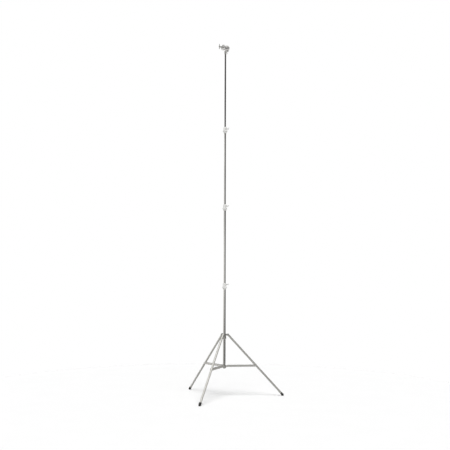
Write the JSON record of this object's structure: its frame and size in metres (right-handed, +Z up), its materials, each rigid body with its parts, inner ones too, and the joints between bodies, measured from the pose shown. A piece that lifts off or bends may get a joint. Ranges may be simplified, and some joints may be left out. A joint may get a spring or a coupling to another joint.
{
  "type": "overhead stand",
  "caption": "Tall telescopic steel stand on a folding tripod base with braced legs, clamp collars with tee screws and a grip head with two grooved jaws.",
  "frame": {"origin": "on the floor under the middle of the footprint's bounding box", "axes": "+Z up along the column; the jaw axis of the head lies along X; one leg points along +Y"},
  "size_m": [1.6948, 1.473, 5.7633],
  "materials": {
    "column_chrome": "bright plated steel tube",
    "leg_steel": "plated steel, slightly satin",
    "cast_collar": "bright, almost white cast metal",
    "zinc_fastener": "zinc-plated",
    "dark_rubber": "matt",
    "black_plastic": "satin",
    "brass_shoe": "turned",
    "head_casting": "cast metal, grey",
    "jaw_steel": "polished cast metal",
    "spring_steel": "bright wire",
    "friction_fibre": "matt fibre"
  },
  "bodies": {
    "column": {"base_column": "column_chrome", "column_plug": "black_plastic", "base_hub": "cast_collar", "hub_rivet_1": "zinc_fastener", "hub_rivet_2": "zinc_fastener", "hub_rivet_3": "zinc_fastener", "clamp_collar_1": "cast_collar", "collar_screw_1": "zinc_fastener"},
    "leg_collar": {"leg_collar": "cast_collar", "leg_pivot_screw_1a": "zinc_fastener", "leg_pivot_screw_1b": "zinc_fastener", "leg_pivot_screw_2a": "zinc_fastener", "leg_pivot_screw_2b": "zinc_fastener", "leg_pivot_screw_3a": "zinc_fastener", "leg_pivot_screw_3b": "zinc_fastener"},
    "leg_collar_shoe": {"leg_collar_shoe": "brass_shoe"},
    "leg_collar_tee": {"leg_collar_tee": "cast_collar"},
    "brace_1": {"brace_1": "leg_steel", "leg_rivet_1": "zinc_fastener"},
    "leg_1": {"leg_1": "leg_steel", "leg_cap_1": "black_plastic", "foot_1": "dark_rubber"},
    "brace_2": {"brace_2": "leg_steel", "leg_rivet_2": "zinc_fastener"},
    "leg_2": {"leg_2": "leg_steel", "leg_cap_2": "black_plastic", "foot_2": "dark_rubber"},
    "brace_3": {"brace_3": "leg_steel", "leg_rivet_3": "zinc_fastener"},
    "leg_3": {"leg_3": "leg_steel", "leg_cap_3": "black_plastic", "foot_3": "dark_rubber"},
    "riser_1": {"riser_1": "column_chrome", "riser_glide_1": "black_plastic", "clamp_collar_2": "cast_collar", "collar_screw_2": "zinc_fastener"},
    "riser_2": {"riser_2": "column_chrome", "riser_glide_2": "black_plastic", "clamp_collar_3": "cast_collar", "collar_screw_3": "zinc_fastener"},
    "riser_3": {"riser_3": "column_chrome", "riser_glide_3": "black_plastic", "receiver": "cast_collar"},
    "clamp_1_shoe": {"clamp_1_shoe": "brass_shoe"},
    "clamp_1_tee": {"clamp_1_tee": "cast_collar"},
    "clamp_2_shoe": {"clamp_2_shoe": "brass_shoe"},
    "clamp_2_tee": {"clamp_2_tee": "cast_collar"},
    "clamp_3_shoe": {"clamp_3_shoe": "brass_shoe"},
    "clamp_3_tee": {"clamp_3_tee": "cast_collar"},
    "receiver_shoe": {"receiver_shoe": "brass_shoe"},
    "receiver_tee": {"receiver_tee": "cast_collar"},
    "head": {"head_frame": "head_casting"},
    "jaw_set": {"inner_jaw": "jaw_steel", "jaw_bolt": "zinc_fastener", "friction_disc": "friction_fibre", "bolt_washer": "zinc_fastener", "jaw_spring": "spring_steel"},
    "outer_jaw": {"outer_jaw": "jaw_steel", "thrust_washer": "zinc_fastener"},
    "jaw_tee": {"jaw_tee": "cast_collar"}
  },
  "joints": [
    {"name": "leg_collar_slide", "type": "slide", "parent": "column", "child": "leg_collar", "axis": [0, 0, 1], "range_m": [0, 0.66006]},
    {"name": "brace_1_fold", "type": "hinge", "parent": "column", "child": "brace_1", "pos_m": [0.03897, -0.26155, 0.48315], "axis": [-0.5, -0.866, 0], "range_deg": [0, 86.81]},
    {"name": "leg_1_fold", "type": "hinge", "parent": "brace_1", "child": "leg_1", "pos_m": [0.45385, -0.50108, 0.48315], "axis": [-0.5, -0.866, 0], "range_deg": [-128.61, 0]},
    {"name": "brace_2_fold", "type": "hinge", "parent": "column", "child": "brace_2", "pos_m": [0, -0.19405, 0.48315], "axis": [1, 0, 0], "range_deg": [0, 86.81]},
    {"name": "leg_2_fold", "type": "hinge", "parent": "brace_2", "child": "leg_2", "pos_m": [0, 0.28501, 0.48315], "axis": [1, 0, 0], "range_deg": [-128.61, 0]},
    {"name": "brace_3_fold", "type": "hinge", "parent": "column", "child": "brace_3", "pos_m": [-0.03897, -0.26155, 0.48315], "axis": [-0.5, 0.866, 0], "range_deg": [0, 86.81]},
    {"name": "leg_3_fold", "type": "hinge", "parent": "brace_3", "child": "leg_3", "pos_m": [-0.45385, -0.50108, 0.48315], "axis": [-0.5, 0.866, 0], "range_deg": [-128.61, 0]},
    {"name": "riser_1_slide", "type": "slide", "parent": "column", "child": "riser_1", "axis": [0, 0, 1], "range_m": [-1.179, 0]},
    {"name": "riser_2_slide", "type": "slide", "parent": "riser_1", "child": "riser_2", "axis": [0, 0, 1], "range_m": [-1.179, 0]},
    {"name": "riser_3_slide", "type": "slide", "parent": "riser_2", "child": "riser_3", "axis": [0, 0, 1], "range_m": [-1.179, 0]},
    {"name": "clamp_1_shoe_slide", "type": "slide", "parent": "column", "child": "clamp_1_shoe", "axis": [1, 0, 0], "range_m": [0, 0.00301]},
    {"name": "clamp_1_tee_turn", "type": "hinge", "parent": "clamp_1_shoe", "child": "clamp_1_tee", "pos_m": [0, -0.23905, 1.79135], "axis": [1, 0, 0], "range_deg": [0, 540]},
    {"name": "clamp_2_shoe_slide", "type": "slide", "parent": "riser_1", "child": "clamp_2_shoe", "axis": [1, 0, 0], "range_m": [0, 0.00301]},
    {"name": "clamp_2_tee_turn", "type": "hinge", "parent": "clamp_2_shoe", "child": "clamp_2_tee", "pos_m": [0, -0.23905, 3.07535], "axis": [1, 0, 0], "range_deg": [0, 540]},
    {"name": "clamp_3_shoe_slide", "type": "slide", "parent": "riser_2", "child": "clamp_3_shoe", "axis": [1, 0, 0], "range_m": [0, 0.00301]},
    {"name": "clamp_3_tee_turn", "type": "hinge", "parent": "clamp_3_shoe", "child": "clamp_3_tee", "pos_m": [0, -0.23905, 4.35935], "axis": [1, 0, 0], "range_deg": [0, 540]},
    {"name": "leg_collar_shoe_slide", "type": "slide", "parent": "leg_collar", "child": "leg_collar_shoe", "axis": [0.866, 0.5, 0], "range_m": [0, 0.00301]},
    {"name": "leg_collar_tee_turn", "type": "hinge", "parent": "leg_collar_shoe", "child": "leg_collar_tee", "pos_m": [0, -0.23905, 0.93929], "axis": [0.866, 0.5, 0], "range_deg": [0, 540]},
    {"name": "receiver_shoe_slide", "type": "slide", "parent": "riser_3", "child": "receiver_shoe", "axis": [1, 0, 0], "range_m": [0, 0.00301]},
    {"name": "receiver_tee_turn", "type": "hinge", "parent": "receiver_shoe", "child": "receiver_tee", "pos_m": [0, -0.23905, 5.64135], "axis": [1, 0, 0], "range_deg": [0, 720]},
    {"name": "head_swivel", "type": "hinge", "parent": "riser_3", "child": "head", "pos_m": [0, -0.23905, 5.71735], "axis": [0, 0, 1], "continuous": true},
    {"name": "jaw_tilt", "type": "hinge", "parent": "head", "child": "jaw_set", "pos_m": [0, -0.23905, 5.71735], "axis": [1, 0, 0], "continuous": true},
    {"name": "outer_jaw_slide", "type": "slide", "parent": "jaw_set", "child": "outer_jaw", "axis": [1, 0, 0], "range_m": [0, 0.0465], "deforming": ["jaw_spring"]},
    {"name": "jaw_tee_turn", "type": "hinge", "parent": "outer_jaw", "child": "jaw_tee", "pos_m": [0, -0.23905, 5.71735], "axis": [1, 0, 0], "range_deg": [0, 8370]}
  ],
  "couplings": [
    {"joint": "brace_1_fold", "follows": "leg_collar_slide", "rad_per_m": 2.2946},
    {"joint": "leg_1_fold", "follows": "leg_collar_slide", "rad_per_m": -3.3999},
    {"joint": "brace_2_fold", "follows": "leg_collar_slide", "rad_per_m": 2.2946},
    {"joint": "leg_2_fold", "follows": "leg_collar_slide", "rad_per_m": -3.3999},
    {"joint": "brace_3_fold", "follows": "leg_collar_slide", "rad_per_m": 2.2946},
    {"joint": "leg_3_fold", "follows": "leg_collar_slide", "rad_per_m": -3.3999},
    {"joint": "clamp_1_shoe_slide", "follows": "clamp_1_tee_turn", "m_per_rad": 0.00031831},
    {"joint": "clamp_2_shoe_slide", "follows": "clamp_2_tee_turn", "m_per_rad": 0.00031831},
    {"joint": "clamp_3_shoe_slide", "follows": "clamp_3_tee_turn", "m_per_rad": 0.00031831},
    {"joint": "leg_collar_shoe_slide", "follows": "leg_collar_tee_turn", "m_per_rad": 0.00031831},
    {"joint": "receiver_shoe_slide", "follows": "receiver_tee_turn", "m_per_rad": 0.00023873},
    {"joint": "jaw_tee_turn", "follows": "outer_jaw_slide", "rad_per_m": 3141.6}
  ]
}
